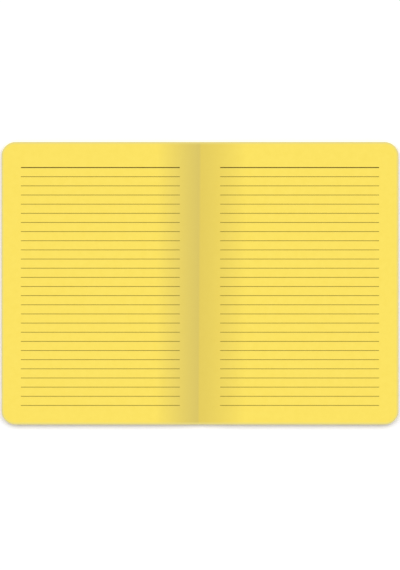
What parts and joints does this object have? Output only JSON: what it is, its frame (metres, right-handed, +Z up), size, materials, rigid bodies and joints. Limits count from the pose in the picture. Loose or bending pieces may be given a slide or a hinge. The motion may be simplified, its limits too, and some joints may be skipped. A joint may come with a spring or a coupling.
{
  "type": "lined notebook",
  "caption": "Soft-cover stitched notebook lying open, with ruled yellow pages, rounded outer corners and a shallow gutter; it folds shut along its spine.",
  "frame": {"origin": "middle of the open spread, on the table surface under the fold", "axes": "+X across the spread to the right-hand page, +Y along the fold towards the head of the page, +Z up from the table"},
  "size_m": [0.295, 0.21, 0.0046],
  "materials": {
    "cover_card": "matt uncoated card",
    "page_paper": "matt uncoated paper",
    "rule_ink": "matt printed ink",
    "staple_wire": "bright drawn wire"
  },
  "bodies": {
    "back_half": {"back_cover": "cover_card", "right_pages": "page_paper", "right_ruling": "rule_ink", "staples": "staple_wire"},
    "front_half": {"front_cover": "cover_card", "left_pages": "page_paper", "left_ruling": "rule_ink"}
  },
  "joints": [
    {"name": "fold", "type": "hinge", "parent": "back_half", "child": "front_half", "pos_m": [0, 0, 0.0047], "axis": [0, 1, 0], "range_deg": [0, 179.5]}
  ]
}
